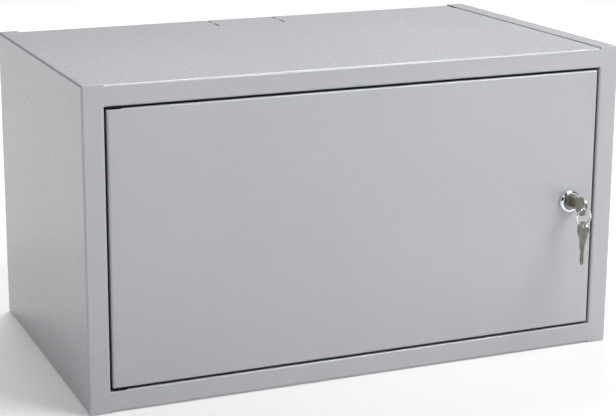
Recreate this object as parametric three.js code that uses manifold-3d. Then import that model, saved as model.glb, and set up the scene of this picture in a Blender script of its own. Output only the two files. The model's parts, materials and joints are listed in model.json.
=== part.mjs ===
// A small 19-inch network cabinet: folded sheet-steel case, hinged front door with a cam lock and keys.
// Millimetres, +Z up, front towards -Y. Lengths inside the case are measured from the case's own centre.
import * as THREE from 'three';
import { mergeVertices } from 'three/addons/utils/BufferGeometryUtils.js';
import Module from 'manifold-3d';

const wasm = await Module();
wasm.setup();

// ---------- driving dimensions ----------
const WIDTH = 600;
const DEPTH = 350;
const HEIGHT = 335;
const SHEET = 1.2; // case and door sheet
const BEND = 2.5; // outer radius of every fold
const FRAME = 22.5; // width of the stiles, rails and flanges round the case
const LIP = 16; // depth of the folded edge round the door opening
const STEP = 1.5; // top panel below, and bottom panel above, the side panels' flanges
const FIT = 0.3; // gap between neighbouring pieces
const RELIEF = { length: 3.2, height: 1.2 }; // corner relief where a stile's fold ends
const LAP = 14.5; // how far the top and bottom panels reach under the side flanges
const LAP_SETBACK = 7; // from the case's front to the front of those laps
const REAR_NOTCH = { width: 1.8, length: 25 }; // open corner beside the rear of the top panel
const REAR_FOLD_END = 0.5; // height of the rear fold's edge above the opening's top
const KNOCKOUT = {
  centre: -6, width: 83, length: 46, slit: 2.6, frontSlit: 1, bridge: 5, bridgeAt: 0.5, rearEnd: 9,
};

const BACK_PANEL = { fromSide: 10, fromEnd: 6 };
const BACK_SCREW = { fromSide: 14, fromEnd: 40, radius: 2, headRadius: 4, head: 2.6, crown: 2.6 };
const WALL_HOLE = { radius: 4.5, x: 225, fromEdge: 45 };

const RACK = { units: 6, unit: 44.45, holeSpacing: 465.1, hole: 9.5, holes: [6.35, 22.225, 38.1] };
const RAIL = { setBack: 55, gauge: 2, bend: 3, innerEdge: 225, outerFace: 256.2, sideDepth: 40, endGap: 1.5 };
const CHANNEL = { gauge: 1.5, height: 30, webX: 256.5, front: -150, rear: 168, fromEdge: 42 };
const SLOT = { width: 7, length: 34, pitch: 60, count: 5 };
const M6 = { radius: 3, clearance: 3.3, acrossFlats: 10, head: 4, nut: 5, washer: 7, washerGauge: 1.2 };

const STOP = { fromEnd: 70, width: 20, tab: 23, front: 3, reach: 1 };
const BUMPER = { radius: 4.5, nose: 3.5, chamfer: 1 };
const EARTH = { x: -240, y: 120, plate: 5, plateGauge: 1, length: 19, chamfer: 0.6 };

const DOOR_GAP = 2.5;
const DOOR_DEPTH = 15;
const DOOR_LIP = 12;
const STIFFENER = { crest: 15, foot: 30, gauge: 1, bend: 2, clear: 2.5, fromEnd: 15 };

const HINGE = { inset: 8, behind: 6, pinRadius: 2, boreRadius: 2.1, bushRadius: 3.5 };
const BUSH = { halfWidth: 7, front: 4.5, rear: 5, corner: 1.5, foot: 1.5, sleeve: 3 };
const BRACKET = { drop: 8, gauge: 1.5, arm: 19, leg: 16 };
const PIN = { tail: 5, collarRadius: 3.5, collar: 1.5, end: 4.2, chamfer: 0.5, straight: 3.5 };

// Depths in these four run inwards from the door's front.
const LOCK = { fromEdge: 30, bezelRadius: 12.4, faceRadius: 9.3, barrelRadius: 9.2, plugRadius: 6 };
const BEZEL = { rim: -5.4, rimWidth: 0.4, shoulder: -1.5, recess: -3.4, barrelEnd: 17, play: 0.1 };
const PLUG = { face: -4.9, chamfer: 0.4, discEnd: -3.7, play: 0.2, square: 4, squareStart: 16 };
const LOCK_FIXING = { washerRadius: 13.2, washer: [1.5, 2.5], nutFlats: 24, nut: [2.8, 7.8] };

const CAM = { width: 16, reach: 46, thickness: 2.5, depth: 18, heel: 6, nose: 4 };
const CAM_SCREW = { radius: 2, flats: 8, head: 3.2, depth: 5, washer: 7, washerGauge: 1 };

const KEY = { thickness: 2, bladeHeight: 8, bladeLength: 17.5, neck: 9, bowLength: 22, bowHeight: 20.5 };
const KEY_SHOULDER = { half: 5.2, back: 1.5 };
const KEY_TIP = { length: 3, half: 1 };
const KEY_CUTS = { depths: [1.4, 0.7, 1.9, 1.1, 1.6], crest: 0.2, margin: 5 };
const KEY_HOLE = { radius: 2.6, fromEnd: 5 };
const BOW_OPEN = 0.5; // half the angle, in radians, where the bow runs into the neck
const RING = { radius: 8.6, wire: 0.9, play: 0.15 };

const OVER = 1; // how far a cutting shape runs past the metal
const THROUGH = 3; // how deep a cutting shape reaches through a sheet

// ---------- derived dimensions ----------
const FRONT = -DEPTH / 2;
const BACK = DEPTH / 2;
const MIDDLE = HEIGHT / 2;
const openingX = WIDTH / 2 - FRAME;
const openingTop = HEIGHT - FRAME;
const doorX = openingX - DOOR_GAP;
const doorTop = openingTop - DOOR_GAP;
const hingeX = -doorX + HINGE.inset;
const hingeY = FRONT + HINGE.behind;
const lockX = doorX - LOCK.fromEdge;
const shoulder = PLUG.face - FIT; // of the key, where it meets the plug
const bowEnd = shoulder - KEY.neck - KEY.bowLength;
const bowHoleY = FRONT + bowEnd + KEY_HOLE.fromEnd;
const ringDrop = KEY_HOLE.radius - RING.wire - RING.play;
const ringTop = MIDDLE - ringDrop;
const ringBottom = ringTop - 2 * RING.radius;
const keyReach = FRONT - (bowHoleY - KEY.bowHeight / 2); // how far the keys stand out in front
const railFace = FRONT + RAIL.setBack;
const screwY = railFace + RAIL.sideDepth / 2;
const channelHeights = [CHANNEL.fromEdge, HEIGHT - CHANNEL.fromEdge];

// ---------- finishes ----------
const finish = (color, roughness, metalness) => ({ color, roughness, metalness });
const PAINT = finish(0xbcbec0, 0.45, 0.0);
const ZINC = finish(0xaeb2b4, 0.4, 0.9);
const CHROME = finish(0xd8d8d8, 0.12, 1.0);
const SATIN_NICKEL = finish(0x9c968c, 0.35, 1.0);
const KEY_NICKEL = finish(0xa8a294, 0.3, 1.0);
const NYLON = finish(0x18191b, 0.5, 0.0);
const RUBBER = finish(0x222222, 0.9, 0.0);

// ---------- shape tools ----------
const v2 = (x, y) => new THREE.Vector2(x, y);

// An outline through corners [x, y, radius]; a corner with a radius becomes an arc.
function outline(corners, steps = 4) {
  const points = [];
  corners.forEach(([x, y, radius = 0], i) => {
    const corner = v2(x, y);
    if (!radius) {
      points.push(corner);
      return;
    }
    const before = corners.at(i - 1);
    const after = corners[(i + 1) % corners.length];
    const toBefore = v2(before[0] - x, before[1] - y).normalize();
    const toAfter = v2(after[0] - x, after[1] - y).normalize();
    const half = Math.acos(toBefore.dot(toAfter)) / 2;
    const centre = corner.clone().addScaledVector(
      toBefore.clone().add(toAfter).normalize(), radius / Math.sin(half));
    const start = corner.clone().addScaledVector(toBefore, radius / Math.tan(half)).sub(centre);
    const turn = Math.PI - 2 * half;
    const side = Math.sign(toAfter.cross(toBefore));
    for (let k = 0; k <= steps; k++) {
      points.push(start.clone().rotateAround(v2(0, 0), side * turn * k / steps).add(centre));
    }
  });
  return points;
}

// The section of a folded sheet: the path is one face, and the sheet lies to its left.
function folded(path, gauge = SHEET, bend = BEND) {
  const face = [];
  const offset = [];
  path.forEach(([x, y], i) => {
    const here = v2(x, y);
    const into = i > 0 ? here.clone().sub(v2(...path[i - 1])).normalize() : null;
    const out = i < path.length - 1 ? v2(...path[i + 1]).sub(here).normalize() : null;
    const left = (d) => v2(-d.y, d.x).multiplyScalar(gauge);
    if (!into || !out) {
      const end = here.clone().add(left(into ?? out));
      face.push([x, y]);
      offset.unshift([end.x, end.y]);
      return;
    }
    const turnsLeft = into.cross(out) > 0;
    const inner = here.clone().add(left(into)).add(left(out));
    face.push([x, y, turnsLeft ? bend : bend - gauge]);
    offset.unshift([inner.x, inner.y, turnsLeft ? bend - gauge : bend]);
  });
  return outline([...face, ...offset]);
}

// A prism between two levels along an axis. Its outline is (x, y) for z, (y, z) for x, (x, z) for y.
function prism(axis, points, low, high) {
  const place = axis === 'y' ? (p) => v2(p.y, p.x) : (p) => v2(p.x, p.y);
  const shape = new THREE.Shape(points.map(place));
  const geometry = new THREE.ExtrudeGeometry(shape, { depth: high - low, bevelEnabled: false });
  geometry.translate(0, 0, low);
  const X = new THREE.Vector3(1, 0, 0);
  const Y = new THREE.Vector3(0, 1, 0);
  const Z = new THREE.Vector3(0, 0, 1);
  const turn = { x: [Y, Z, X], y: [Z, X, Y], z: [X, Y, Z] }[axis];
  return geometry.applyMatrix4(new THREE.Matrix4().makeBasis(...turn));
}

const ordered = (a, b) => (a < b ? [a, b] : [b, a]);

const rectangle = (x0, y0, x1, y1, radius = 0) =>
  outline([[x0, y0, radius], [x1, y0, radius], [x1, y1, radius], [x0, y1, radius]]);

function polygon(x, y, radius, sides = 24, start = 0) {
  return Array.from({ length: sides }, (_, k) => {
    const angle = start + 2 * Math.PI * k / sides;
    return v2(x + radius * Math.cos(angle), y + radius * Math.sin(angle));
  });
}

const hexagon = (x, y, acrossFlats) => polygon(x, y, acrossFlats / Math.sqrt(3), 6, Math.PI / 6);

// A block between two corners, in either order along x and z.
function box(xa, y0, za, xb, y1, zb) {
  const [x0, x1] = ordered(xa, xb);
  const [z0, z1] = ordered(za, zb);
  return prism('z', rectangle(x0, y0, x1, y1), z0, z1);
}

// A turned piece from a closed (radius, height) profile, standing on z, y or x through a point.
function turned(axis, profile, at, sides = 24) {
  const points = profile.map(([radius, height]) => v2(radius, height));
  if (profile[0][0] > 0) points.push(points[0].clone());
  const geometry = new THREE.LatheGeometry(points, sides);
  if (axis === 'z') geometry.rotateX(Math.PI / 2);
  if (axis === 'x') geometry.rotateZ(-Math.PI / 2);
  return geometry.translate(...at);
}

function solid(geometry) {
  const bare = geometry.clone();
  bare.deleteAttribute('normal');
  bare.deleteAttribute('uv');
  const merged = mergeVertices(bare, 1e-4);
  return new wasm.Manifold(new wasm.Mesh({
    numProp: 3,
    vertProperties: new Float32Array(merged.attributes.position.array),
    triVerts: new Uint32Array(merged.index.array),
  }));
}

const join = (...geometries) => geometries.map(solid).reduce((a, b) => a.add(b));

function cut(body, ...tools) {
  return tools.map((tool) => (tool.getMesh ? tool : solid(tool))).reduce((a, b) => a.subtract(b), body);
}

// A prism with holes right through it.
function plate(axis, points, low, high, holes) {
  return cut(solid(prism(axis, points, low, high)),
    ...holes.map((hole) => prism(axis, hole, low - 1, high + 1)));
}

function geometryOf(body) {
  const { vertProperties, triVerts, numProp } = body.getMesh();
  const position = new Float32Array((vertProperties.length / numProp) * 3);
  for (let i = 0; i < position.length / 3; i++) {
    position.set(vertProperties.subarray(i * numProp, i * numProp + 3), i * 3);
  }
  const geometry = new THREE.BufferGeometry();
  geometry.setAttribute('position', new THREE.BufferAttribute(position, 3));
  geometry.setIndex(new THREE.BufferAttribute(new Uint32Array(triVerts), 1));
  geometry.computeVertexNormals();
  return geometry;
}

const cabinet = new THREE.Group();
// The origin is the middle of the whole footprint, so the case sits back by half the keys' reach.
cabinet.position.y = keyReach / 2;

function piece(name, shape, look) {
  const geometry = shape.getMesh ? geometryOf(shape) : shape;
  const mesh = new THREE.Mesh(geometry, new THREE.MeshStandardMaterial(look));
  mesh.name = name;
  cabinet.add(mesh);
}

// ---------- case ----------
const screwHeights = [BACK_SCREW.fromEnd, MIDDLE, HEIGHT - BACK_SCREW.fromEnd];
const backScrewX = WIDTH / 2 - BACK_SCREW.fromSide;

// A pan with four flanges; its skin is the case's side and its front flange is the stile.
function sidePanel(side) {
  const skin = side * WIDTH / 2;
  const edge = side * openingX;
  const inset = skin - side * SHEET;
  const past = edge - side * OVER;
  const round = (x0, x1, low, high, radius) =>
    outline([[x0, low], [x1, low, radius], [x1, high, radius], [x0, high]]);
  const outer = solid(prism('z', round(edge, skin, FRONT, BACK, BEND), 0, HEIGHT))
    .intersect(solid(prism('y', round(edge, skin, 0, HEIGHT, BEND), FRONT, BACK)));
  const tight = BEND - SHEET;
  const depth = [FRONT + SHEET, BACK - SHEET];
  const hollow = solid(prism('z', round(past, inset, ...depth, tight), -OVER, HEIGHT + OVER))
    .intersect(solid(prism('y', round(past, inset, SHEET, HEIGHT - SHEET, tight), FRONT, BACK)));
  const foldEdge = edge + side * (BEND + OVER);
  const opening = box(past, FRONT - OVER, FRAME, foldEdge, FRONT + THROUGH, openingTop);
  const face = [foldEdge + side * OVER, FRONT];
  const path = [[edge, FRONT + LIP], [edge, FRONT], face];
  const stile = folded(side > 0 ? path : path.toReversed());
  const reliefEnd = edge + side * RELIEF.length;
  const slit = (z) =>
    box(past, FRONT - OVER, z, reliefEnd, FRONT + THROUGH, z + RELIEF.height);
  const holes = screwHeights.map((z) =>
    prism('y', polygon(side * backScrewX, z, BACK_SCREW.radius + FIT, 12), BACK - THROUGH, BACK + OVER));
  const pan = cut(outer, hollow, opening).add(solid(prism('z', stile, FRAME, openingTop)));
  return cut(pan, slit(openingTop), slit(FRAME - RELIEF.height), ...holes);
}

// Slits that leave a tab held by small bridges, so a cable entry can be broken out of the rear edge.
function knockoutSlits(place) {
  const { centre, width, length, slit, frontSlit, bridge, bridgeAt, rearEnd } = KNOCKOUT;
  const left = centre - width / 2;
  const start = BACK - length;
  const held = start + length * bridgeAt;
  const low = openingTop - THROUGH;
  const spans = [];
  for (const x of [left, left + width]) {
    spans.push([x - slit / 2, start, x + slit / 2, held - bridge / 2, low]);
    spans.push([x - slit / 2, held + bridge / 2, x + slit / 2, BACK + OVER, openingTop + rearEnd]);
  }
  const third = width / 3;
  for (const k of [0, 1, 2]) {
    const from = left + k * third + (k > 0 ? bridge : -slit) / 2;
    const to = left + (k + 1) * third - (k < 2 ? bridge : -slit) / 2;
    spans.push([from, start - frontSlit, to, start, low]);
  }
  return spans.map(([x0, y0, x1, y1, z]) => box(x0, y0, place(z), x1, y1, place(HEIGHT + OVER)));
}

// Top panel (level 1) or, mirrored about the middle height, bottom panel (level -1).
function framePanel(level) {
  const place = (z) => MIDDLE + level * (z - MIDDLE);
  const flat = HEIGHT - STEP;
  const path = [[BACK, openingTop + REAR_FOLD_END], [BACK, flat], [FRONT, flat], [FRONT, openingTop],
    [FRONT + LIP, openingTop]];
  const section = folded(path).map((p) => v2(p.x, place(p.y)));
  const inner = openingX - FIT;
  const outer = openingX + LAP;
  const rear = BACK - REAR_NOTCH.length;
  const wings = [-1, 1].map((side) => box(side * (inner - OVER), FRONT + LAP_SETBACK, place(flat),
    side * outer, rear, place(flat - SHEET)));
  const notches = [-1, 1].map((side) => box(side * (openingX - REAR_NOTCH.width), rear, -OVER,
    side * (outer + OVER), BACK + OVER, HEIGHT + OVER));
  const lipLevels = ordered(place(openingTop - OVER), place(openingTop + THROUGH));
  const bushHole = prism('z', polygon(hingeX, hingeY, HINGE.bushRadius + FIT), ...lipLevels);
  return cut(join(prism('x', section, -inner, inner), ...wings),
    ...notches, bushHole, ...knockoutSlits(place));
}

const backFace = BACK - SHEET - FIT; // the back panel lies against the inside of the rear flanges

function backPanel() {
  const holes = [-1, 1].flatMap((side) => [
    ...screwHeights.map((z) => polygon(side * backScrewX, z, BACK_SCREW.radius + FIT, 12)),
    ...[WALL_HOLE.fromEdge, HEIGHT - WALL_HOLE.fromEdge].map((z) =>
      polygon(side * WALL_HOLE.x, z, WALL_HOLE.radius)),
  ]);
  const halfWidth = WIDTH / 2 - BACK_PANEL.fromSide;
  const sheet = rectangle(-halfWidth, BACK_PANEL.fromEnd, halfWidth, HEIGHT - BACK_PANEL.fromEnd);
  return plate('y', sheet, backFace - SHEET, backFace, holes);
}

// A pan-head screw driven from inside the case, through the back panel into the rear flange.
function backScrew(side, z) {
  const { radius, headRadius, head, crown } = BACK_SCREW;
  const seat = backFace - SHEET - FIT;
  const length = BACK - FIT - seat;
  const profile = [[0, -head], [crown, -head], [headRadius - 0.2, 1 - head], [headRadius, 0],
    [radius, 0], [radius, length], [0, length]];
  return turned('y', profile, [side * backScrewX, seat, z], 12);
}

// ---------- equipment rails ----------
function depthRail(side, z) {
  const wall = WIDTH / 2 - SHEET - FIT;
  const { gauge, webX, front, rear } = CHANNEL;
  const half = CHANNEL.height / 2;
  const path = [[wall, z + half], [webX, z + half], [webX, z - half], [wall, z - half]];
  const section = folded(path, gauge).map((p) => v2(side * p.x, p.y));
  const web = ordered(side * (webX - OVER), side * (webX + THROUGH));
  const halfLong = SLOT.length / 2;
  const halfWide = SLOT.width / 2;
  const slots = Array.from({ length: SLOT.count }, (_, k) => {
    const y = screwY + k * SLOT.pitch;
    const ends = rectangle(y - halfLong, z - halfWide, y + halfLong, z + halfWide, halfWide - 0.01);
    return prism('x', ends, ...web);
  });
  return cut(solid(prism('y', section, front, rear)), ...slots);
}

function rackRail(side) {
  const { gauge, bend, innerEdge, outerFace, sideDepth, endGap } = RAIL;
  const path = [[innerEdge, railFace], [outerFace, railFace], [outerFace, railFace + sideDepth]];
  const section = folded(path, gauge, bend).map((p) => v2(side * p.x, p.y));
  const bar = solid(prism('z', section, FRAME + endGap, openingTop - endGap));
  const firstUnit = MIDDLE - RACK.units * RACK.unit / 2;
  const x = side * RACK.holeSpacing / 2;
  const half = RACK.hole / 2;
  const units = Array.from({ length: RACK.units }, (_, u) => firstUnit + u * RACK.unit);
  const holes = units.flatMap((base) => RACK.holes.map((step) => box(x - half, railFace - OVER,
    base + step - half, x + half, railFace + THROUGH, base + step + half)));
  const across = ordered(side * (outerFace - THROUGH), side * (outerFace + OVER));
  const screws = channelHeights.map((z) =>
    prism('x', polygon(screwY, z, M6.clearance, 16), ...across));
  return cut(bar, ...holes, ...screws);
}

// Screw heads face the middle of the case and the nuts lie inside the channels.
function railScrew(side, z) {
  const seat = RAIL.outerFace - RAIL.gauge - FIT;
  const end = CHANNEL.webX + CHANNEL.gauge + FIT + M6.nut + OVER;
  const head = ordered(side * (seat - M6.head), side * seat);
  const shank = ordered(side * (seat - OVER), side * end);
  return join(prism('x', hexagon(screwY, z, M6.acrossFlats), ...head),
    prism('x', polygon(screwY, z, M6.radius, 16), ...shank));
}

function railNut(side, z) {
  const seat = CHANNEL.webX + CHANNEL.gauge + FIT;
  const span = ordered(side * seat, side * (seat + M6.nut));
  const hole = polygon(screwY, z, M6.clearance, 16);
  return plate('x', hexagon(screwY, z, M6.acrossFlats), ...span, [hole]);
}

// ---------- door stops and earth point ----------
const stopHeights = { lower: STOP.fromEnd, upper: HEIGHT - STOP.fromEnd };
const stopTab = FRONT + STOP.tab;

function stopBracket(z) {
  const outer = openingX + SHEET + FIT + SHEET;
  const inner = doorX - DOOR_LIP - STOP.reach;
  const section = folded([[outer, FRONT + STOP.front], [outer, stopTab], [inner, stopTab]]);
  return prism('z', section, z - STOP.width / 2, z + STOP.width / 2);
}

function stopBumper(z) {
  const { radius, nose, chamfer } = BUMPER;
  const start = FRONT + DOOR_DEPTH + FIT;
  const length = stopTab - SHEET - FIT - start;
  const profile = [[0, 0], [nose, 0], [radius, chamfer], [radius, length], [0, length]];
  return turned('y', profile, [doorX - DOOR_LIP / 2, start, z], 16);
}

const earthFloor = STEP + SHEET + FIT;
const washerSeat = earthFloor + EARTH.plateGauge + FIT;
const nutSeat = washerSeat + M6.washerGauge + FIT;

function earthStud() {
  const { plate: base, plateGauge, length, chamfer } = EARTH;
  const profile = [[0, 0], [base, 0], [base, plateGauge], [M6.radius, plateGauge],
    [M6.radius, length - chamfer], [M6.radius - chamfer, length], [0, length]];
  return turned('z', profile, [EARTH.x, EARTH.y, earthFloor], 16);
}

const earthWasher = () => plate('z', polygon(EARTH.x, EARTH.y, M6.washer), washerSeat,
  washerSeat + M6.washerGauge, [polygon(EARTH.x, EARTH.y, M6.clearance)]);
const earthNut = () => plate('z', hexagon(EARTH.x, EARTH.y, M6.acrossFlats), nutSeat, nutSeat + M6.nut,
  [polygon(EARTH.x, EARTH.y, M6.clearance)]);

// ---------- hinges ----------
// A spacer foot fills the gap above (or below) the door's corner; its sleeve sits in the frame's lip.
function hingeBush(level) {
  const { halfWidth, front, rear, corner, foot, sleeve } = BUSH;
  const span = (a, b) => ordered(MIDDLE + level * (a - MIDDLE), MIDDLE + level * (b - MIDDLE));
  const base = rectangle(hingeX - halfWidth, hingeY - front, hingeX + halfWidth, hingeY + rear, corner);
  const seat = openingTop - FIT;
  const tube = polygon(hingeX, hingeY, HINGE.bushRadius);
  const bore = polygon(hingeX, hingeY, HINGE.boreRadius);
  const body = join(prism('z', base, ...span(seat - foot, seat)),
    prism('z', tube, ...span(seat - OVER, openingTop + sleeve)));
  return cut(body, prism('z', bore, ...span(seat - foot - OVER, openingTop + sleeve + OVER)));
}

const bracketFace = doorTop - BRACKET.drop; // the bracket's outer face, inside the door's corner

function hingeBracket(level) {
  const place = (z) => MIDDLE + level * (z - MIDDLE);
  const { gauge, arm, leg } = BRACKET;
  const side = -doorX + SHEET + FIT;
  const path = [[side + arm, bracketFace], [side, bracketFace], [side, bracketFace - leg]];
  const section = folded(path, gauge).map((p) => v2(p.x, place(p.y)));
  const hole = ordered(place(bracketFace + OVER), place(bracketFace - THROUGH));
  return cut(solid(prism('y', section, FRONT + BEND, FRONT + DOOR_DEPTH - BEND)),
    prism('z', polygon(hingeX, hingeY, HINGE.pinRadius + FIT), ...hole));
}

function hingePin(level) {
  const { tail, collarRadius, collar, end, chamfer, straight } = PIN;
  const seat = bracketFace + FIT;
  const r = HINGE.pinRadius;
  const profile = [[0, bracketFace - tail], [r, bracketFace - tail], [r, seat], [collarRadius, seat],
    [collarRadius, seat + collar], [r, seat + collar], [r, openingTop + straight],
    [r - chamfer, openingTop + end], [0, openingTop + end]];
  const placed = profile.map(([radius, z]) => [radius, MIDDLE + level * (z - MIDDLE)]);
  return turned('z', level > 0 ? placed : placed.reverse(), [hingeX, hingeY, 0], 16);
}

// ---------- door ----------
function doorPanel() {
  const back = FRONT + DOOR_DEPTH;
  const bottom = HEIGHT - doorTop;
  const tray = (inset, radius) => {
    const x = doorX - inset;
    const depth = [FRONT + inset, back - inset];
    const levels = [bottom + inset, doorTop - inset];
    const plan = rectangle(-x, depth[0], x, depth[1], radius);
    const profile = rectangle(depth[0], levels[0], depth[1], levels[1], radius);
    return solid(prism('z', plan, ...levels)).intersect(solid(prism('x', profile, -x, x)));
  };
  const windowX = doorX - DOOR_LIP;
  const window = box(-windowX, back - THROUGH, bottom + DOOR_LIP, windowX, back + OVER, doorTop - DOOR_LIP);
  const barrel = polygon(lockX, MIDDLE, LOCK.barrelRadius + FIT);
  const lockHole = prism('y', barrel, FRONT - OVER, FRONT + THROUGH);
  const pin = polygon(hingeX, hingeY, HINGE.pinRadius + FIT);
  const pinHole = (z) => prism('z', pin, z - THROUGH, z + THROUGH);
  return cut(tray(0, BEND), tray(SHEET, BEND - SHEET), window, lockHole, pinHole(doorTop), pinHole(bottom));
}

function doorStiffener() {
  const { crest, foot, gauge, bend, clear, fromEnd } = STIFFENER;
  const seat = FRONT + SHEET + FIT + gauge;
  const top = FRONT + DOOR_DEPTH - clear;
  const path = [[foot, seat], [crest, seat], [crest, top], [-crest, top], [-crest, seat], [-foot, seat]];
  return prism('z', folded(path, gauge, bend), HEIGHT - doorTop + fromEnd, doorTop - fromEnd);
}

// ---------- lock ----------
const lockAt = [lockX, FRONT, MIDDLE];

function lockBody() {
  const { bezelRadius, faceRadius, barrelRadius, plugRadius } = LOCK;
  const { rim, rimWidth, shoulder: base, recess, barrelEnd, play } = BEZEL;
  const flat = faceRadius + rimWidth;
  const steps = 4;
  const dome = Array.from({ length: steps + 1 }, (_, k) => {
    const angle = (Math.PI / 2) * k / steps;
    return [flat + (bezelRadius - flat) * Math.sin(angle), base + (rim - base) * Math.cos(angle)];
  });
  const bore = plugRadius + play;
  const profile = [[faceRadius, rim], ...dome, [bezelRadius, -FIT], [barrelRadius, -FIT],
    [barrelRadius, barrelEnd], [bore, barrelEnd], [bore, recess], [faceRadius, recess]];
  return turned('y', profile, lockAt, 32);
}

// A flat piece round the lock's barrel, between two depths.
function aroundBarrel(shape, [from, to]) {
  const hole = polygon(lockX, MIDDLE, LOCK.barrelRadius + FIT, 32);
  return plate('y', shape, FRONT + from, FRONT + to, [hole]);
}

const { washerRadius, nutFlats } = LOCK_FIXING;
const lockWasher = () => aroundBarrel(polygon(lockX, MIDDLE, washerRadius, 32), LOCK_FIXING.washer);
const lockNut = () => aroundBarrel(hexagon(lockX, MIDDLE, nutFlats), LOCK_FIXING.nut);

const camStart = FRONT + CAM.depth;
const camEnd = camStart + CAM.thickness;

function lockPlug() {
  const { face, chamfer, discEnd, play, square: half, squareStart } = PLUG;
  const disc = LOCK.faceRadius - play;
  const end = CAM.depth - FIT;
  const profile = [[0, face], [disc - chamfer, face], [disc, face + chamfer], [disc, discEnd],
    [LOCK.plugRadius, discEnd], [LOCK.plugRadius, end], [0, end]];
  const square = box(lockX - half, FRONT + squareStart, MIDDLE - half, lockX + half, camEnd, MIDDLE + half);
  const slotHalf = KEY.bladeHeight / 2 + FIT;
  const slotWide = KEY.thickness / 2 + play;
  const slotEnd = FRONT + shoulder + KEY.bladeLength + OVER;
  const keyway = box(lockX - slotWide, FRONT + face - OVER, MIDDLE - slotHalf,
    lockX + slotWide, slotEnd, MIDDLE + slotHalf);
  const bore = polygon(lockX, MIDDLE, CAM_SCREW.radius + FIT);
  const thread = prism('y', bore, camEnd - CAM_SCREW.depth - OVER, camEnd + OVER);
  return cut(join(turned('y', profile, lockAt, 32), square), keyway, thread);
}

// The cam points up at rest, clear of the stile, and swings to the right to lock.
function lockCam() {
  const { width, reach, heel, nose } = CAM;
  const half = width / 2;
  const tip = MIDDLE + reach;
  const arm = outline([[lockX - half, MIDDLE - half, heel], [lockX + half, MIDDLE - half, heel],
    [lockX + half, tip, nose], [lockX - half, tip, nose]]);
  const eye = PLUG.square + FIT;
  return plate('y', arm, camStart, camEnd, [rectangle(lockX - eye, MIDDLE - eye, lockX + eye, MIDDLE + eye)]);
}

const camWasherEnd = camEnd + FIT + CAM_SCREW.washerGauge;
const camWasher = () => plate('y', polygon(lockX, MIDDLE, CAM_SCREW.washer), camEnd + FIT, camWasherEnd,
  [polygon(lockX, MIDDLE, CAM_SCREW.radius + FIT)]);

function camScrew() {
  const { radius, flats, head, depth } = CAM_SCREW;
  const seat = camWasherEnd + FIT;
  return join(prism('y', hexagon(lockX, MIDDLE, flats), seat, seat + head),
    prism('y', polygon(lockX, MIDDLE, radius), camEnd - depth, seat + OVER));
}

// ---------- keys ----------
// A flat key lying along +x from its shoulder, with its bow on the -x side.
function keyOutline() {
  const { bladeHeight, bladeLength, neck, bowLength, bowHeight } = KEY;
  const half = bladeHeight / 2;
  const tip = bladeLength - KEY_TIP.length;
  const neckEnd = KEY_SHOULDER.back - neck;
  const steps = 22;
  const bow = Array.from({ length: steps + 1 }, (_, k) => {
    const angle = BOW_OPEN + (2 * Math.PI - 2 * BOW_OPEN) * k / steps;
    return v2(-neck + (Math.cos(angle) - 1) * bowLength / 2, Math.sin(angle) * bowHeight / 2);
  });
  const pitch = (bladeLength - KEY_CUTS.margin) / KEY_CUTS.depths.length;
  const bitting = KEY_CUTS.depths.flatMap((depth, k) => [
    v2(tip - k * pitch, half - KEY_CUTS.crest),
    v2(tip - (k + 0.5) * pitch, half - depth),
  ]);
  return [
    v2(0, half), v2(0, KEY_SHOULDER.half), v2(neckEnd, KEY_SHOULDER.half), ...bow,
    v2(neckEnd, -KEY_SHOULDER.half), v2(0, -KEY_SHOULDER.half), v2(0, -half), v2(tip, -half),
    v2(bladeLength, -KEY_TIP.half), v2(bladeLength, KEY_TIP.half), ...bitting,
  ];
}

function key(x, shoulderY, z, hanging) {
  const { thickness, neck, bowLength } = KEY;
  const hole = polygon(KEY_HOLE.fromEnd - neck - bowLength, 0, KEY_HOLE.radius);
  const place = hanging ? (p) => v2(p.y + shoulderY, z - p.x) : (p) => v2(p.x + shoulderY, p.y + z);
  return plate('x', keyOutline().map(place), x - thickness / 2, x + thickness / 2, [hole.map(place)]);
}

function keyRing() {
  const geometry = new THREE.TorusGeometry(RING.radius, RING.wire, 8, 32);
  return geometry.rotateX(Math.PI / 2).translate(lockX, bowHoleY, ringTop - RING.radius);
}

const spareHole = ringBottom - ringDrop;
const spareShoulder = spareHole + KEY_HOLE.fromEnd - KEY.bowLength - KEY.neck;

// ---------- assembly ----------
for (const [side, hand] of [[-1, 'left'], [1, 'right']]) {
  piece(`side_panel_${hand}`, sidePanel(side), PAINT);
  piece(`rack_rail_${hand}`, rackRail(side), ZINC);
  for (const [k, level] of ['lower', 'upper'].entries()) {
    piece(`depth_rail_${level}_${hand}`, depthRail(side, channelHeights[k]), ZINC);
    piece(`rail_screw_${level}_${hand}`, railScrew(side, channelHeights[k]), ZINC);
    piece(`rail_nut_${level}_${hand}`, railNut(side, channelHeights[k]), ZINC);
  }
  for (const [k, level] of ['lower', 'middle', 'upper'].entries()) {
    piece(`back_screw_${level}_${hand}`, backScrew(side, screwHeights[k]), ZINC);
  }
}
piece('top_panel', framePanel(1), PAINT);
piece('bottom_panel', framePanel(-1), PAINT);
piece('back_panel', backPanel(), PAINT);
for (const [level, z] of Object.entries(stopHeights)) {
  piece(`stop_bracket_${level}`, stopBracket(z), PAINT);
  piece(`stop_bumper_${level}`, stopBumper(z), RUBBER);
}
piece('earth_stud', earthStud(), ZINC);
piece('earth_washer', earthWasher(), ZINC);
piece('earth_nut', earthNut(), ZINC);

for (const [level, hand] of [[1, 'upper'], [-1, 'lower']]) {
  piece(`hinge_bush_${hand}`, hingeBush(level), NYLON);
  piece(`hinge_bracket_${hand}`, hingeBracket(level), ZINC);
  piece(`hinge_pin_${hand}`, hingePin(level), ZINC);
}
piece('door_panel', doorPanel(), PAINT);
piece('door_stiffener', doorStiffener(), PAINT);

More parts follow.
